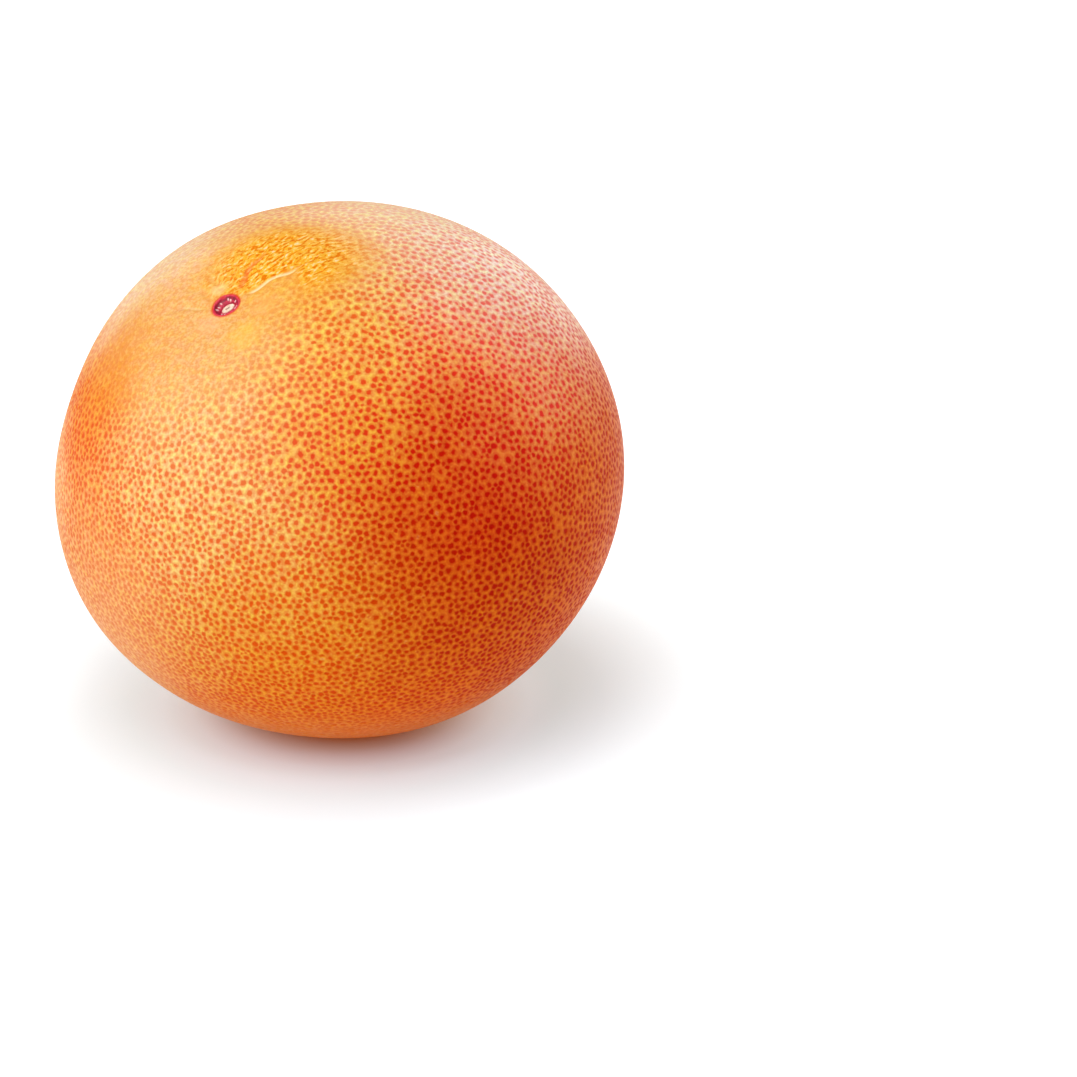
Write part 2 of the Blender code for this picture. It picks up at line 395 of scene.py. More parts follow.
def refine(mesh):  # cuts the skin finer about the scar and the blossom end
    net = bmesh.new()
    net.from_mesh(mesh)
    equator = body["equatorRadius"]

    def facesWithin(reach, upper):
        found = []
        for face in net.faces:
            middle = face.calc_center_median()
            if (middle.z > 0) == upper and equator * math.hypot(middle.x, middle.y) < reach:
                found.append(face)
        return found

    def cutFiner(reach, upper, cuts):
        edges = {edge for face in facesWithin(reach, upper) for edge in face.edges}
        edges = sorted(edges, key=lambda edge: edge.index)
        bmesh.ops.subdivide_edges(net, edges=edges, cuts=cuts, use_grid_fill=True)
        net.edges.index_update()

    for reach, upper in ((rind["stemReach"] * rind["finerShare"], True), (rind["blossomReach"], False)):
        bmesh.ops.poke(net, faces=facesWithin(reach, upper))
        net.edges.index_update()
        cutFiner(reach, upper, 2)
    cutFiner(rind["scarReach"], True, 1)
    for face in net.faces:
        face.smooth = True
    for vert in net.verts:
        vert.co.normalize()
    net.to_mesh(mesh)
    net.free()


# Relief of the stem end: the creases that the CAD fruit has, and finer wrinkles between them
stemEnd = {
    # turn in degrees, reach and depth in metres, and its tint of painted light: 1 pale painted highlight, -1
    # red painted shade
    "creases": (
        (15, 0.0195, 0.00060, 1.0),
        (37, 0.0120, 0.00030, 0.0),
        (53, 0.0170, 0.00050, -1.0),
        (75, 0.0140, 0.00035, -0.4),
        (98, 0.0160, 0.00045, 0.0),
        (127, 0.0130, 0.00030, 0.0),
        (157, 0.0140, 0.00040, 0.76),
        (195, 0.0100, 0.00025, 0.0),
        (240, 0.0110, 0.00025, 0.0),
        (285, 0.0095, 0.00020, 0.0),
        (337, 0.0120, 0.00030, -0.4),
    ),
    "creaseHalfWidth": 0.0007,
    "creaseStart": 0.0030,
    "creaseFull": 0.0058,
    "creaseFade": 0.6,
    "creaseWander": (0.04, 900),  # radians to each side, and how often
    # the crinkled patch, on the plane across the stem axis
    "patchMiddle": (0.0114, 0.0068),
    "patchTurn": -8,
    "patchHalf": (0.0164, 0.0112),
    "patchEdge": (0.50, 1.20),  # shares of its half sizes where it starts to fade and ends
    "patchSide": (-0.0004, 0.0010),  # it ends at the main crease, which climbs by the slope
    "patchSlope": 0.25,
    "patchFarEnd": (0.0120, 0.0160),  # but not out here
    "wrinkleTurn": 28,  # the way that the ridges lie
    "wrinkleSeed": 7,
    "wrinkleHeight": 0.00016,
    "wrinkleLength": 0.0022,  # along a wrinkle
    "wrinkleWidth": 0.0012,
    "wrinkleGain": 1.6,
    "bend": 0.8,  # how far a ridge strays from its line
    "bendScale": 260,
}


# the tint it returns is painted light: a pale highlight above 0, a red shade below
def creaseLines(turn, across):  # how deep the creases are, and their tint
    drop, tint = np.zeros(len(turn)), np.zeros(len(turn))
    sway, often = stemEnd["creaseWander"]
    for creaseTurn, reach, depth, creasePaintedLight in stemEnd["creases"]:
        off = turn - math.radians(creaseTurn)
        off = off + sway * np.sin(across * often + creaseTurn)
        opens = smoothStep(stemEnd["creaseStart"], stemEnd["creaseFull"], across)
        closes = 1 - smoothStep(reach * stemEnd["creaseFade"], reach, across)
        line = hump(across * np.sin(off), 0.0, stemEnd["creaseHalfWidth"])
        line = np.where(np.cos(off) > 0, opens * closes * line, 0.0)
        drop += depth * line
        tint += creasePaintedLight * line
    return drop, np.clip(tint, -1, 1)


def turned(x, y, degrees):  # the parts of a place along and across a turned line
    c, s = math.cos(math.radians(degrees)), math.sin(math.radians(degrees))
    return x * c + y * s, y * c - x * s


def wrinkleShare(x, y):  # where the crinkled patch lies, 0 to 1
    middle, half = stemEnd["patchMiddle"], stemEnd["patchHalf"]
    along, aside = turned(x - middle[0], y - middle[1], stemEnd["patchTurn"])
    oval = 1 - smoothStep(*stemEnd["patchEdge"], np.hypot(along / half[0], aside / half[1]))
    aboveCrease = smoothStep(*stemEnd["patchSide"], y - stemEnd["patchSlope"] * x)
    return oval * np.maximum(aboveCrease, smoothStep(*stemEnd["patchFarEnd"], x))


def wrinkleWaves(x, y, wrinkled):  # short ridges lying along one way, -1 to 1
    waves = np.zeros(len(x))
    along, aside = turned(x, y, stemEnd["wrinkleTurn"])
    noise.seed_set(stemEnd["wrinkleSeed"])
    for index in np.nonzero(wrinkled > 0)[0]:
        bend = noise.noise_vector(Vector((x[index], y[index], 0.0)) * stemEnd["bendScale"]) * stemEnd["bend"]
        place = Vector((along[index] / stemEnd["wrinkleLength"], aside[index] / stemEnd["wrinkleWidth"], 3.0))
        waves[index] = noise.noise(place + bend) * stemEnd["wrinkleGain"]
    return waves


def scarOval(x, y):  # distance from the stem axis, measured along the scar's own oval
    along, aside = turned(x, y, scar["turn"])
    return np.hypot(along / scar["long"], aside / scar["wide"])


def makePeel(peelMaterial):
    mesh = cellMesh(peelMaterial)
    refine(mesh)
    count = len(mesh.vertices)
    flat = np.empty(count * 3)
    mesh.vertices.foreach_get("co", flat)
    ways = flat.reshape(count, 3)
    ways /= np.linalg.norm(ways, axis=1)[:, None]
    pore = np.empty(count)
    mesh.attributes["pore"].data.foreach_get("value", pore)
    across = acrossOf(ways)
    turn = np.arctan2(ways[:, 1], ways[:, 0])
    upper = ways[:, 2] > 0
    x, y = ways[:, 0] * body["equatorRadius"], ways[:, 1] * body["equatorRadius"]
    wrinkled = np.where(upper, wrinkleShare(x, y), 0.0)
    drop, tint = creaseLines(turn, across)
    fromScar = scarOval(x, y)
    raised = -rind["poreDepth"] * pore
    raised += np.where(upper, -drop, 0.0)
    raised += stemEnd["wrinkleHeight"] * wrinkleWaves(x, y, wrinkled) * wrinkled
    pocket = 1 - smoothStep(*scar["pocketEdge"], fromScar)  # the scar piece sits in here
    raised -= np.where(upper, scar["pocketDepth"] * pocket, 0.0)
    dot = 1 - smoothStep(*rind["blossomDot"], across)
    raised -= np.where(upper, 0.0, rind["blossomDotDepth"] * dot)
    points = layDown(skinPoints(ways, raised))
    mesh.vertices.foreach_set("co", points.ravel())

    # where each face corner lies from the middle of its gland, for the dots
    middles = np.empty(len(mesh.polygons) * 3)
    mesh.attributes["glandMiddle"].data.foreach_get("vector", middles)
    middles = middles.reshape(-1, 3)
    middles /= np.linalg.norm(middles, axis=1)[:, None]
    middles = layDown(skinPoints(middles, np.zeros(len(middles))))
    corners = np.empty(len(mesh.loops), dtype=np.int32)
    mesh.loops.foreach_get("vertex_index", corners)
    sizes = np.empty(len(mesh.polygons), dtype=np.int32)
    mesh.polygons.foreach_get("loop_total", sizes)
    away = (points[corners] - np.repeat(middles, sizes, axis=0)) * 1000
    mesh.attributes.new("fromGland", "FLOAT_VECTOR", "CORNER").data.foreach_set("vector", away.ravel())

    # for the colours: where the dots, wrinkles and creases show, and how far the scar is in millimetres
    fromSmooth = np.hypot(x - rind["smoothMiddle"][0], y - rind["smoothMiddle"][1])
    faint = rind["faintDots"] * smoothStep(*rind["faintFrom"], across)
    shown = faint + (1 - faint) * smoothStep(*rind["smoothReach"], fromSmooth)
    shown = shown * (1 - rind["wrinklesHide"] * wrinkled)
    shown = np.where(upper, shown, smoothStep(*rind["blossomFade"], across))
    left = rind["underneath"]
    shown *= left + (1 - left) * smoothStep(*rind["underFade"], points[:, 2])
    attributes = {
        "dotsShown": shown,
        "wrinkled": wrinkled,
        "creasePaintedLight": np.where(upper, tint, 0.0),
        "fromScar": np.where(upper, fromScar, -across) * 1000,
    }
    for name, values in attributes.items():
        mesh.attributes.new(name, "FLOAT", "POINT").data.foreach_set("value", values)
    # and the place on the plane across the stem axis, in millimetres
    plane = np.stack((x * 1000, y * 1000, np.where(upper, 0.0, 200.0)), axis=1)
    mesh.attributes.new("stemPlane", "FLOAT_VECTOR", "POINT").data.foreach_set("vector", plane.ravel())
    mesh.update()
    peel = bpy.data.objects.new("peel_skin", mesh)
    bpy.context.scene.collection.objects.link(peel)
    triangles = int((sizes - 2).sum())
    print("peel:", len(mesh.polygons), "faces,", triangles, "triangles")
    return peel


# Tints of the rind: where each is strongest, how tight it is, the ground and the dots. The pale ones on the
# lit left, the top and the right shoulder are partly painted highlight, the red cheeks partly painted shade
tints = {
    "gold about the stem": ((-0.17, -0.30, 0.94), 16.0, (236, 170, 68), (220, 128, 14)),
    "gold shoulder": ((0.03, -0.62, 0.78), 18.0, (234, 180, 84), (222, 72, 4)),
    # paler partly as a painted highlight of the light from the upper left
    "soft shoulder, partly painted highlight": ((-0.40, -0.71, 0.58), 16.0, (236, 178, 132), (220, 148, 88)),
    # paler partly as a painted highlight of the left light
    "pale flank, partly painted highlight": ((-0.54, -0.80, 0.26), 14.0, (230, 196, 138), (218, 94, 48)),
    "right rim": ((0.93, -0.35, 0.02), 12.0, (232, 112, 34), (196, 40, 8)),
    # very pale partly as a painted highlight along the upper left rim
    "peach rim, partly painted highlight": ((-0.64, 0.10, 0.76), 26.0, (244, 218, 202), (238, 198, 164)),
    # paler partly as a painted highlight of the light from the upper left
    "left shoulder, partly painted highlight": ((-0.64, -0.42, 0.64), 24.0, (234, 182, 122), (224, 150, 92)),
    "orange flank": ((-0.91, -0.33, 0.24), 20.0, (230, 124, 0), (218, 40, 0)),
    "gold streak": ((-0.82, -0.28, 0.50), 50.0, (230, 138, 0), (220, 110, 0)),
    "low rim": ((-0.90, -0.42, -0.10), 22.0, (236, 162, 100), (220, 112, 50)),
    # a narrow pale band on the left edge, partly a painted highlight
    "pale rim, partly painted highlight": ((-0.98, -0.16, 0.05), 100.0, (250, 206, 160), (240, 152, 92)),
    "lower left": ((-0.79, -0.49, -0.37), 20.0, (238, 164, 116), (228, 138, 90)),
    "golden front": ((-0.28, -0.93, -0.22), 10.0, (226, 158, 56), (212, 78, 2)),
    "warm middle": ((0.02, -0.90, 0.42), 22.0, (230, 158, 44), (216, 6, 0)),
    # these two are partly real blush and partly painted shade on the side turned from the light
    "cheek, blush and painted shade": ((0.38, -0.90, 0.22), 18.0, (204, 10, 2), (164, 2, 2)),
    "low cheek, blush and painted shade": ((0.46, -0.84, -0.26), 12.0, (212, 96, 16), (168, 6, 0)),
    "pink cheek": ((0.57, -0.59, 0.57), 18.0, (247, 144, 58), (238, 16, 6)),
    # pinkish white partly as a painted highlight of the light behind on the right
    "pink shoulder, partly painted highlight": ((0.57, -0.27, 0.78), 16.0, (240, 218, 216), (232, 122, 112)),
    # pale on top partly as a painted highlight of the overhead light
    "rosy crown, partly painted highlight": ((0.15, 0.12, 0.98), 20.0, (244, 214, 192), (240, 184, 162)),
    "underside": ((-0.03, -0.77, -0.64), 12.0, (234, 106, 6), (214, 60, 0)),
    "far side": ((0.1, 0.99, 0.1), 3.0, (242, 158, 62), (224, 76, 18)),
    "far side, gold": ((-0.6, 0.7, 0.35), 6.0, (244, 176, 76), (230, 106, 32)),
    "blossom end": ((0.44, 0.37, -0.82), 10.0, (240, 164, 62), (224, 96, 26)),
}
dotLook = {
    "radius": (0.42, 0.60),  # millimetres, on the weakest and the strongest glands
    "radiusBy": (0.0, 0.9),  # strengths of those two
    "roomShare": 0.66,  # most of a gland's room that its dot may take
    "leastRoom": (0.34, 0.54),  # millimetres; no dot below
    "unevenScale": 1150.0,  # of the ragged rims
    # shares of the radius where core and halo fade in, and how strong the halo is
    "coreEdge": (1.26, 0.60),
    "haloEdge": (2.1, 0.8),
    "halo": 0.46,
    "faintest": 0.88,
    "depthBy": (0.0, 0.45),  # strengths between which a dot deepens from that to full
}
groundLook = {
    "middle": (0.0, 0.0, 0.049),  # the tints' ways are taken from here
    "wanderScale": 55.0,
    "wander": 0.35,  # how far the tints' borders wander
    "noiseEdge": (0.34, 0.66),
    "mottleScale": 640.0,
    "mottle": ((0.99, 0.94, 1.06), (1.0, 1.05, 0.80)),  # pinker in places, more gold in others
    "netEdge": (0.66, 1.05),  # shares of a gland's room
    "net": ((0.99, 0.93, 0.88), (1.03, 1.13, 1.02)),  # about a gland, and in the light net between glands
    "speckleScale": 2300.0,
    "speckle": ((0.96, 0.86, 0.80), (1.02, 1.10, 1.10)),
    "bare": ((1.0, 1.0, 1.0), (0.96, 0.92, 0.87)),  # where dots show, and where none do
    "patchCore": 0.25,  # share of a stem patch's radius that has its full amount
    "balance": (0.945, 1.0, 0.95),  # on the finished colour
}
wrinkleLook = {
    "size": (1.15, 0.62, 1.0),  # millimetres along and across a ridge
    "roughness": 0.60,  # of the ripple that it is drawn by
    "distortion": 0.35,
    # where the ripple turns to the tone, how much of it, and the tone
    "tones": (
        (0.0, 0.01, 0.70, (240, 168, 22)),
        # painted shade between the ridges
        (0.50, 0.39, 0.95, (222, 108, 2)),
        # painted highlight on the ridges, cream and then a little pink
        (0.54, 0.62, 0.75, (246, 204, 116)),
        (0.61, 0.70, 0.60, (250, 206, 186)),
    ),
    # the same for the bare skin about the stem, by a finer and fainter ripple
    "bareTones": (
        (0.50, 0.38, 0.40, (230, 140, 54)),
        (0.52, 0.64, 0.20, (250, 204, 140)),
    ),
}
stemPatches = {
    # turn and millimetres across, radius, amount, tone
    "yellow": ((285, 9.8), 4.6, 0.34, (250, 196, 76)),
    "pink": ((220, 4.9), 4.2, 0.30, (250, 180, 142)),
    "peach": ((330, 8.0), 3.6, 0.40, (248, 172, 100)),
    "cream": ((100, 5.2), 2.2, 0.40, (252, 222, 166)),
}
creaseLook = {
    # between which tints it shows, amount, tone
    # pale is a painted highlight along the crease, red a painted shade in it
    "pale": ((0.55, 1.0), 0.75, (253, 222, 176)),
    "red": ((-0.15, -0.85), 0.6, (233, 112, 58)),
}
spotLook = {
    # side of the fruit, millimetres across where it fades in, tone
    "scar halo": ("GREATER_THAN", (3.5, 2.8), (214, 62, 40)),
    "blossom dot": ("LESS_THAN", (-1.5, -0.7), (120, 74, 38)),
}
reliefLook = {
    "grainScale": 1500.0,
    # how much each raises the bump
    "grain": 0.5,
    "dots": -0.6,
    "ridges": 2.4,
    "strength": 0.45,
    "distance": 0.00010,
    "roughness": (0.40, 0.52),  # of the ground and of the dots
    "specular": 0.035,
    "specularTint": (1.0, 0.55, 0.25, 1.0),
}


def tintGroup():  # adds one tint's share, by how near its middle a place is
    tree = bpy.data.node_groups.new("tint", "ShaderNodeTree")
    takes = {
        "Way": "Vector",
        "Middle": "Vector",
        "Tightness": "Float",
        "Ground": "Vector",
        "Dots": "Vector",
        "Ground so far": "Vector",
        "Dots so far": "Vector",
        "Weight so far": "Float",
    }
    addSockets(tree, "INPUT", takes)
    addSockets(tree, "OUTPUT", {"Ground": "Vector", "Dots": "Vector", "Weight": "Float"})
    given = tree.nodes.new("NodeGroupInput").outputs
    near = vectorNode(tree, "DOT_PRODUCT", given["Way"], given["Middle"])
    near = mathNode(tree, "SUBTRACT", near, 1.0)
    weight = mathNode(tree, "EXPONENT", product(tree, near, given["Tightness"]))
    out = tree.nodes.new("NodeGroupOutput").inputs
    for name in ("Ground", "Dots"):
        total = vectorNode(tree, "ADD", scaled(tree, given[name], weight), given[name + " so far"])
        tree.links.new(total, out[name])
    tree.links.new(mathNode(tree, "ADD", weight, given["Weight so far"]), out["Weight"])
    return tree


def tintTones(tree, way):  # the ground's and the dots' tones all over the fruit
    group = tintGroup()
    ground, dots, weight = (0.0, 0.0, 0.0), (0.0, 0.0, 0.0), 0.0
    for middle, tightness, groundTone, dotTone in tints.values():
        inputs = {
            "Way": way,
            "Middle": Vector(middle).normalized(),
            "Tightness": tightness,
            "Ground": screenColour(*groundTone),
            "Dots": screenColour(*dotTone),
            "Ground so far": ground,
            "Dots so far": dots,
            "Weight so far": weight,
        }
        sums = addNode(tree, "ShaderNodeGroup", inputs, node_tree=group).outputs
        ground, dots, weight = sums["Ground"], sums["Dots"], sums["Weight"]
    share = mathNode(tree, "DIVIDE", 1.0, weight)
    return scaled(tree, ground, share), scaled(tree, dots, share)


def peelFinish():
    material = bpy.data.materials.new("peel")
    material.use_nodes = True
    tree = material.node_tree
    shader = tree.nodes["Principled BSDF"].inputs
    place = tree.nodes.new("ShaderNodeTexCoord").outputs["Object"]

    def leaned(colour, share, ends):  # multiplied by one colour or the other
        first, second = ((*end, 1) for end in ends)
        return vectorNode(tree, "MULTIPLY", colour, mixNode(tree, share, first, second))

    def patchy(scale, detail, **others):
        pattern = noiseNode(tree, place, scale, detail, **others)["Fac"]
        return rangeNode(tree, pattern, *groundLook["noiseEdge"])

    way = vectorNode(tree, "NORMALIZE", vectorNode(tree, "SUBTRACT", place, groundLook["middle"]))
    wander = noiseNode(tree, place, groundLook["wanderScale"], 3.0)["Color"]
    wander = scaled(tree, vectorNode(tree, "SUBTRACT", wander, (0.5, 0.5, 0.5)), groundLook["wander"])
    ground, dots = tintTones(tree, vectorNode(tree, "NORMALIZE", vectorNode(tree, "ADD", way, wander)))

    # round soft dots, larger and deeper on the stronger glands
    strength = attribute(tree, "glandStrength")
    room = attribute(tree, "glandRoom")
    uneven = noiseNode(tree, place, dotLook["unevenScale"], 2.0)["Fac"]
    away = vectorNode(tree, "LENGTH", attribute(tree, "fromGland", "Vector"))
    away = mathNode(tree, "ADD", away, mathNode(tree, "SUBTRACT", uneven, 0.5))
    radius = rangeNode(tree, strength, *dotLook["radiusBy"], *dotLook["radius"])
    radius = mathNode(tree, "MINIMUM", radius, product(tree, room, dotLook["roomShare"]))
    rim = mathNode(tree, "DIVIDE", away, radius)
    core = rangeNode(tree, rim, *dotLook["coreEdge"])
    halo = product(tree, rangeNode(tree, rim, *dotLook["haloEdge"]), dotLook["halo"])
    shown = product(tree, attribute(tree, "dotsShown"), rangeNode(tree, room, *dotLook["leastRoom"]))
    depth = rangeNode(tree, strength, *dotLook["depthBy"], dotLook["faintest"], 1.0)
    cover = product(tree, product(tree, depth, shown), mathNode(tree, "MAXIMUM", core, halo))

    # the ground is mottled, with a light net between the glands, and speckled
    ground = leaned(ground, patchy(groundLook["mottleScale"], 3.0, Roughness=0.6), groundLook["mottle"])
    border = rangeNode(tree, mathNode(tree, "DIVIDE", away, room), *groundLook["netEdge"])
    ground = leaned(ground, product(tree, border, shown), groundLook["net"])
    ground = leaned(ground, patchy(groundLook["speckleScale"], 2.0), groundLook["speckle"])
    colour = mixNode(tree, cover, ground, dots)

    # wrinkles: deep gold, with painted shade in orange between them and painted highlight in cream and a
    # little pink on the ridges
    wrinkled = attribute(tree, "wrinkled")
    stemPlane = attribute(tree, "stemPlane", "Vector")
    turn = (0, 0, math.radians(stemEnd["wrinkleTurn"]))
    lying = {"Vector": stemPlane, "Rotation": turn, "Scale": wrinkleLook["size"]}
    lying = addNode(tree, "ShaderNodeMapping", lying, vector_type="TEXTURE").outputs[0]
    look = {"Roughness": wrinkleLook["roughness"], "Distortion": wrinkleLook["distortion"]}
    ripple = noiseNode(tree, lying, 1.0, 2.0, **look)["Fac"]
    bare = mathNode(tree, "SUBTRACT", 1.0, shown)
    bare = product(tree, bare, mathNode(tree, "LESS_THAN", wrinkled, 0.5))
    colour = leaned(colour, bare, groundLook["bare"])
    for kind, pattern, where in (("bareTones", uneven, bare), ("tones", ripple, wrinkled)):
        for low, high, amount, tone in wrinkleLook[kind]:
            share = product(tree, rangeNode(tree, pattern, low, high), amount, where)
            colour = mixNode(tree, share, colour, paint(tone))

    # a few soft patches about the stem, and the creases' painted highlight in pale and painted shade in red
    for (turn, across), radius, amount, tone in stemPatches.values():
        x, y = across * math.cos(math.radians(turn)), across * math.sin(math.radians(turn))
        gap = vectorNode(tree, "DISTANCE", stemPlane, (x, y, 0.0))
        share = product(tree, rangeNode(tree, gap, radius, radius * groundLook["patchCore"]), amount)
        colour = mixNode(tree, share, colour, paint(tone))
    for (low, high), amount, tone in creaseLook.values():
        share = product(tree, rangeNode(tree, attribute(tree, "creasePaintedLight"), low, high), amount)
        colour = mixNode(tree, share, colour, paint(tone))

    # a red halo round the scar, and the brown dot of the blossom end
    fromScar = attribute(tree, "fromScar")
    for side, (low, high), tone in spotLook.values():
        share = product(tree, rangeNode(tree, fromScar, low, high), mathNode(tree, side, fromScar, 0.0))
        colour = mixNode(tree, share, colour, paint(tone))
    colour = vectorNode(tree, "MULTIPLY", colour, groundLook["balance"])
    tree.links.new(colour, shader["Base Color"])

    # grain, sunk dots and raised ridges
    grain = noiseNode(tree, place, reliefLook["grainScale"], 2.0)["Fac"]
    height = product(tree, grain, reliefLook["grain"])
    height = mathNode(tree, "ADD", height, product(tree, cover, reliefLook["dots"]))
    height = mathNode(tree, "ADD", height, product(tree, ripple, wrinkled, reliefLook["ridges"]))
    bump = {"Strength": reliefLook["strength"], "Distance": reliefLook["distance"], "Height": height}
    tree.links.new(addNode(tree, "ShaderNodeBump", bump).outputs[0], shader["Normal"])
    tree.links.new(rangeNode(tree, cover, 0.0, 1.0, *reliefLook["roughness"]), shader["Roughness"])
    shader["Specular IOR Level"].default_value = reliefLook["specular"]
    shader["Specular Tint"].default_value = reliefLook["specularTint"]
    return material


# The scar: an oval pit with a crimson lip, pale bundle ends round its wall and a cream core
scar = {
    # distance across and depth below the skin, both in metres, from the edge to the middle
    "profile": (
        (0.00305, 0.00012),
        (0.00285, -0.00004),
        (0.00265, -0.00008),
        (0.00250, 0.00006),
        (0.00236, 0.00030),
        (0.00214, 0.00048),
        (0.00190, 0.00056),
        (0.00168, 0.00074),
        (0.00150, 0.00096),
        (0.00138, 0.00100),
        (0.00128, 0.00082),
        (0.00110, 0.00072),
        (0.00060, 0.00068),
        (0.00000, 0.00070),
    ),
    "turn": 22,  # the way its long side lies
    "long": 0.93,
    "wide": 0.93,
    "sectors": 120,
    "rings": 44,
    "lipWaves": ((0.035, 3, 0.6), (0.02, 7, 2.0)),  # how far it wanders, how often, from where
    "lipEdge": (0.00238, 0.00262),  # distance across where the lip starts
    "wallEdge": (0.0018, 0.0022),
    "bundles": 11,
    "bundleAcross": 0.00196,
    "bundleStray": ((0.3, 2.3), (0.06, 4.1)),  # how far out of line and how often, round the wall and across
    "bundleRadius": 0.00018,
    "bundleLong": 1.45,
    "bundleEdge": (0.4, 1.4),
    "bundleHeight": 0.00014,
    "coreLong": 1.12,
    "coreWide": 0.74,
    "coreEdge": (0.00118, 0.00138),
    "coreBlend": (0.0014, 0.0019),  # the pit follows the core's oval inside this
    "slit": (0.00062, 0.00019),  # half length and half width
    "slitEdge": (0.5, 1.2),
    "slitDepth": 0.00022,
    "thickness": 0.0006,
    "pocketEdge": (0.0021, 0.0027),  # of the hollow in the peel that it sits in
    "pocketDepth": 0.0016,
}
scarLook = {
    "patchScale": 2200.0,
    "patchEdge": (0.3, 0.7),
    # each place's tone in one patch and in the next
    "floor": ((160, 6, 44), (206, 44, 76)),
    "wall": ((120, 2, 34), (182, 14, 54)),
    "lip": ((200, 16, 50), (222, 54, 76)),
    "core": ((224, 184, 158), (244, 226, 202)),
    "bundle": (246, 196, 190),
    "slit": (120, 92, 72),
    "strength": 0.4,
    "distance": 0.0001,
    "roughness": (0.42, 0.6),
}


def makeScar(material):
    reachList, depthList = (np.array(column) for column in zip(*scar["profile"][::-1]))
    sectors, rings = scar["sectors"], scar["rings"]
    radii = np.repeat(np.linspace(1 / rings, 1, rings) * reachList[-1], sectors)
    turns = np.tile(np.arange(sectors) * 2 * math.pi / sectors, rings)
    radii, turns = np.append(radii, 0.0), np.append(turns, 0.0)
    x, y = radii * np.cos(turns), radii * np.sin(turns)
    lipWander = 1.0
    for far, often, start in scar["lipWaves"]:
        lipWander = lipWander + far * np.sin(turns * often + start)
    coreReach = np.hypot(x / scar["coreLong"], y / scar["coreWide"])
    nearCore = 1 - smoothStep(*scar["coreBlend"], radii)
    depth = np.interp(radii * lipWander * (1 - nearCore) + coreReach * nearCore, reachList, depthList)
    bundle = np.zeros(len(radii))
    (farRound, oftenRound), (farAcross, oftenAcross) = scar["bundleStray"]
    for number in range(scar["bundles"]):
        angle = 2 * math.pi * (number + farRound * math.sin(number * oftenRound)) / scar["bundles"]
        at = scar["bundleAcross"] * (1 + farAcross * math.sin(number * oftenAcross))
        outward, beside = turned(x, y, math.degrees(angle))
        gap = np.hypot((outward - at) / scar["bundleLong"], beside) / scar["bundleRadius"]
        bundle = np.maximum(bundle, 1 - smoothStep(*scar["bundleEdge"], gap))
    depth = depth - bundle * scar["bundleHeight"]
    half, width = scar["slit"]
    slit = 1 - smoothStep(*scar["slitEdge"], np.hypot(x / half, y / width))
    depth = depth + slit * scar["slitDepth"]
    core = 1 - smoothStep(*scar["coreEdge"], coreReach)
    wall = smoothStep(*scar["wallEdge"], radii)
    lip = smoothStep(*scar["lipEdge"], radii)

    x, y = turned(x * scar["long"], y * scar["wide"], -scar["turn"])
    height = np.sqrt(body["equatorRadius"] ** 2 - x * x - y * y)
    ways = np.stack((x, y, height), axis=1) / body["equatorRadius"]
    upperSide = layDown(skinPoints(ways, -depth))
    lowerSide = layDown(skinPoints(ways, -depth - scar["thickness"]))
    count = len(radii)
    middle = count - 1
    faces = []
    for ring in range(rings - 1):
        for sector in range(sectors):
            following = (sector + 1) % sectors
            a, b = ring * sectors + sector, ring * sectors + following
            c, d = a + sectors, b + sectors
            faces.append((a, c, d, b))
            faces.append((count + a, count + b, count + d, count + c))
    edge = (rings - 1) * sectors
    for sector in range(sectors):
        following = (sector + 1) % sectors
        faces.append((middle, sector, following))
        faces.append((count + middle, count + following, count + sector))
        faces.append((edge + sector, count + edge + sector, count + edge + following, edge + following))
    mesh = bpy.data.meshes.new("stem_scar")
    mesh.from_pydata(np.vstack((upperSide, lowerSide)).tolist(), [], faces)
    places = {"bundle": bundle, "core": core, "wall": wall, "lip": lip, "slit": slit}
    for name, values in places.items():
        mesh.attributes.new(name, "FLOAT", "POINT").data.foreach_set("value", np.tile(values, 2))
    mesh.shade_smooth()
    mesh.materials.append(material)
    piece = bpy.data.objects.new("stem_scar", mesh)
    bpy.context.scene.collection.objects.link(piece)
    print("scar:", len(faces), "faces")
    return piece


def scarFinish():
    material = bpy.data.materials.new("stem scar")
    material.use_nodes = True
    tree = material.node_tree
    shader = tree.nodes["Principled BSDF"].inputs
    place = tree.nodes.new("ShaderNodeTexCoord").outputs["Object"]
    patchy = noiseNode(tree, place, scarLook["patchScale"], 2.0)["Fac"]
    patchy = rangeNode(tree, patchy, *scarLook["patchEdge"])

    def patched(name):
        first, second = scarLook[name]
        return mixNode(tree, patchy, paint(first), paint(second))

    colour = patched("floor")
    for name in ("wall", "lip", "core"):
        colour = mixNode(tree, attribute(tree, name), colour, patched(name))
    for name in ("bundle", "slit"):
        colour = mixNode(tree, attribute(tree, name), colour, paint(scarLook[name]))
    tree.links.new(colour, shader["Base Color"])
    bump = {"Strength": scarLook["strength"], "Distance": scarLook["distance"], "Height": patchy}
    tree.links.new(addNode(tree, "ShaderNodeBump", bump).outputs[0], shader["Normal"])
    tree.links.new(rangeNode(tree, patchy, 0.0, 1.0, *scarLook["roughness"]), shader["Roughness"])
    return material


# The camera looks down by about 20 degrees and keeps the fruit left of the middle
camera = {
    "distance": 0.5670,
    "elevation": 20.0,  # degrees
    "target": (0.0, 0.0, 0.049),
    "pitch": 21.47,  # degrees that it looks down
    "pan": 4.05,  # and to the right
    "lens": 100.0,
    "sensor": 36.0,
    "clip": (0.01, 20.0),
}


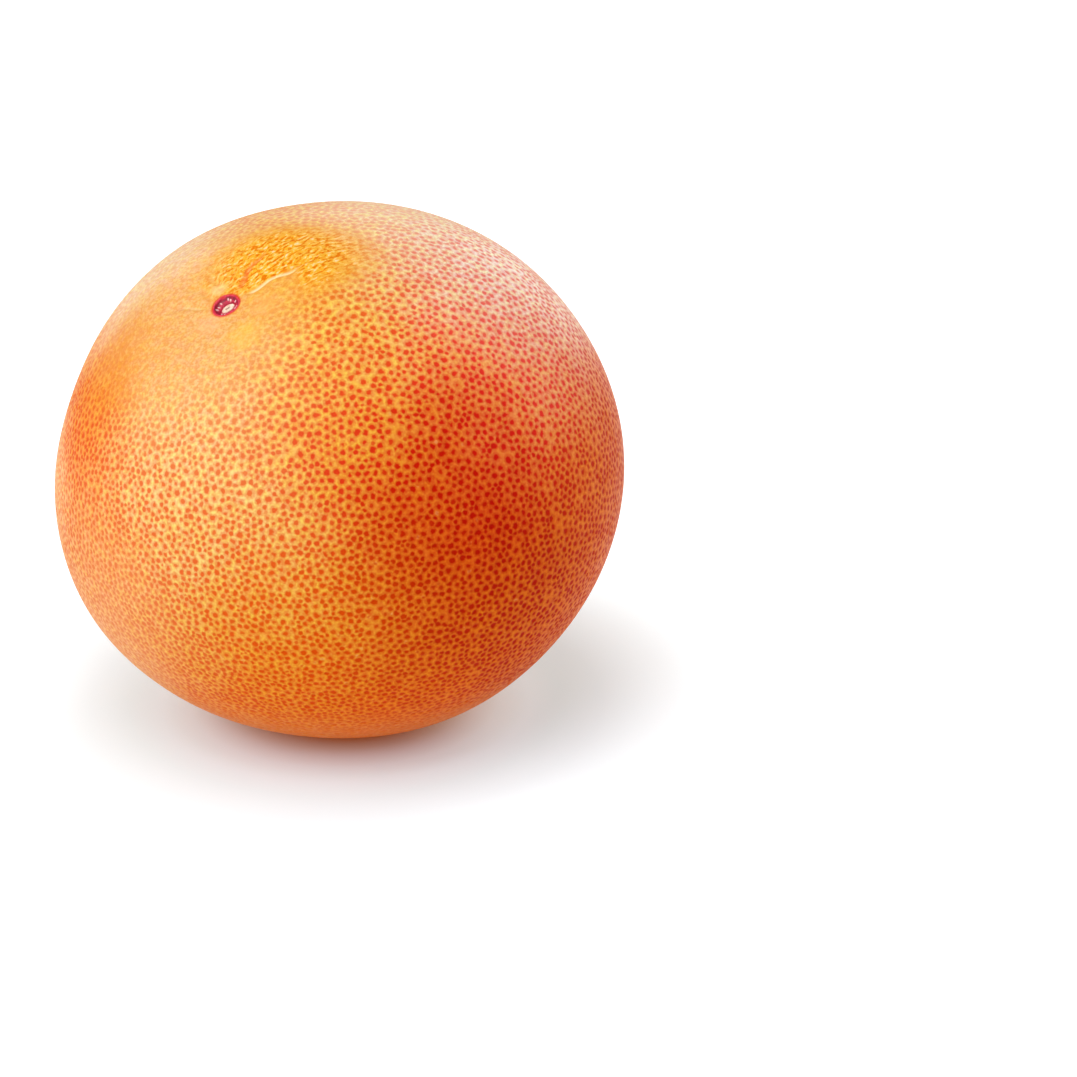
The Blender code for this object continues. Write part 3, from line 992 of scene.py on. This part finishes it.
def makeCamera():
    data = bpy.data.cameras.new("camera")
    data.lens = camera["lens"]
    data.sensor_width = camera["sensor"]
    data.clip_start, data.clip_end = camera["clip"]
    piece = bpy.data.objects.new("camera", data)
    rise = math.radians(camera["elevation"])
    back = Vector((0.0, -math.cos(rise), math.sin(rise)))
    piece.location = Vector(camera["target"]) + back * camera["distance"]
    piece.rotation_euler = (math.radians(90 - camera["pitch"]), 0.0, math.radians(-camera["pan"]))
    bpy.context.scene.collection.objects.link(piece)
    bpy.context.scene.camera = piece


# Soft studio light over a pale table that glows a little, less so near the fruit's foot, where the dimmer
# glow is a painted shadow
studio = {
    "surround": 0.36,  # the white surround, as light on the fruit
    "reflected": 0.12,  # and as seen in its gloss
    "tableHalf": 3.0,
    "tableWhite": (0.62, 0.67, 0.69),
    "tableRoughness": 0.9,
    # the glow at a distance from the foot's middle: dimmer near the foot as a painted shadow, and warm beside
    # it as a painted bounce of light from the peel
    "tableGlowWithPaintedShadow": (
        (0.010, (0.080, 0.005, 0.000)),
        (0.018, (0.124, 0.028, 0.000)),
        (0.022, (0.160, 0.093, 0.074)),
        (0.026, (0.223, 0.194, 0.204)),
        (0.030, (0.275, 0.289, 0.310)),
        (0.036, (0.300, 0.352, 0.385)),
        (0.042, (0.265, 0.332, 0.355)),
        (0.050, (0.285, 0.330, 0.350)),
        (0.064, (0.400, 0.420, 0.430)),
        (0.090, (0.660, 0.660, 0.660)),
    ),
    "aim": (0, 0, 0.05),
    "lights": {
        # the way it stands from the fruit, distance, size, watts
        "left panel": ((-0.86, -0.22, 0.46), 0.95, 0.60, 2.2),
        "back panel": ((0.52, 0.80, 0.30), 0.95, 0.60, 3.6),
        "overhead": ((-0.10, -0.35, 0.93), 1.20, 0.90, 8.6),
        "key": ((-0.50, -0.70, 0.60), 1.10, 0.60, 2.4),
    },
}


def makeStudio():
    floorMesh = bpy.data.meshes.new("floor")
    side = studio["tableHalf"]
    corners = [(-side, -side, 0), (side, -side, 0), (side, side, 0), (-side, side, 0)]
    floorMesh.from_pydata(corners, [], [(0, 1, 2, 3)])
    floor = bpy.data.objects.new("floor", floorMesh)
    bpy.context.scene.collection.objects.link(floor)
    white = bpy.data.materials.new("white table")
    white.use_nodes = True
    tree = white.node_tree
    shader = tree.nodes["Principled BSDF"].inputs
    place = tree.nodes.new("ShaderNodeTexCoord").outputs["Object"]
    # the ramp paints the fruit's shadow and the peel's warm bounce onto the table near the foot
    stops = studio["tableGlowWithPaintedShadow"]
    farthest = stops[-1][0]
    away = mathNode(tree, "DIVIDE", vectorNode(tree, "LENGTH", place), farthest)
    ramp = addNode(tree, "ShaderNodeValToRGB", {"Fac": away})
    marks = ramp.color_ramp.elements
    while len(marks) < len(stops):
        marks.new(0.5)
    for mark, (distance, glow) in zip(marks, stops):
        mark.position = distance / farthest
        mark.color = (*glow, 1)
    tree.links.new(ramp.outputs["Color"], shader["Emission Color"])
    shader["Emission Strength"].default_value = 1.0
    shader["Base Color"].default_value = (*studio["tableWhite"], 1)
    shader["Roughness"].default_value = studio["tableRoughness"]
    shader["Specular IOR Level"].default_value = 0.0
    floorMesh.materials.append(white)

    for name, (way, distance, size, watts) in studio["lights"].items():
        data = bpy.data.lights.new(name, "AREA")
        data.shape = "DISK"
        data.size = size
        data.energy = watts
        light = bpy.data.objects.new(name, data)
        way = Vector(way).normalized()
        light.location = way * distance + Vector(studio["aim"])
        light.rotation_euler = way.to_track_quat("Z", "Y").to_euler()
        bpy.context.scene.collection.objects.link(light)

    world = bpy.data.worlds.new("white surround")
    world.use_nodes = True
    tree = world.node_tree
    background = tree.nodes["Background"].inputs
    background["Color"].default_value = (1, 1, 1, 1)
    rays = tree.nodes.new("ShaderNodeLightPath").outputs
    gloss = {"Value": rays["Is Glossy Ray"], "To Min": studio["surround"], "To Max": studio["reflected"]}
    gloss = addNode(tree, "ShaderNodeMapRange", gloss).outputs[0]
    seen = {"Value": rays["Is Camera Ray"], "To Min": gloss, "To Max": 1.0}
    seen = addNode(tree, "ShaderNodeMapRange", seen).outputs[0]
    tree.links.new(seen, background["Strength"])
    bpy.context.scene.world = world
    bpy.context.scene.view_settings.view_transform = "Standard"


makeCamera()
makeStudio()
print("camera, table and lights placed")

peel = makePeel(peelFinish())
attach(peel, "root")
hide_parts("grapefruit")
scarPiece = makeScar(scarFinish())
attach(scarPiece, "root")
print("pieces made")
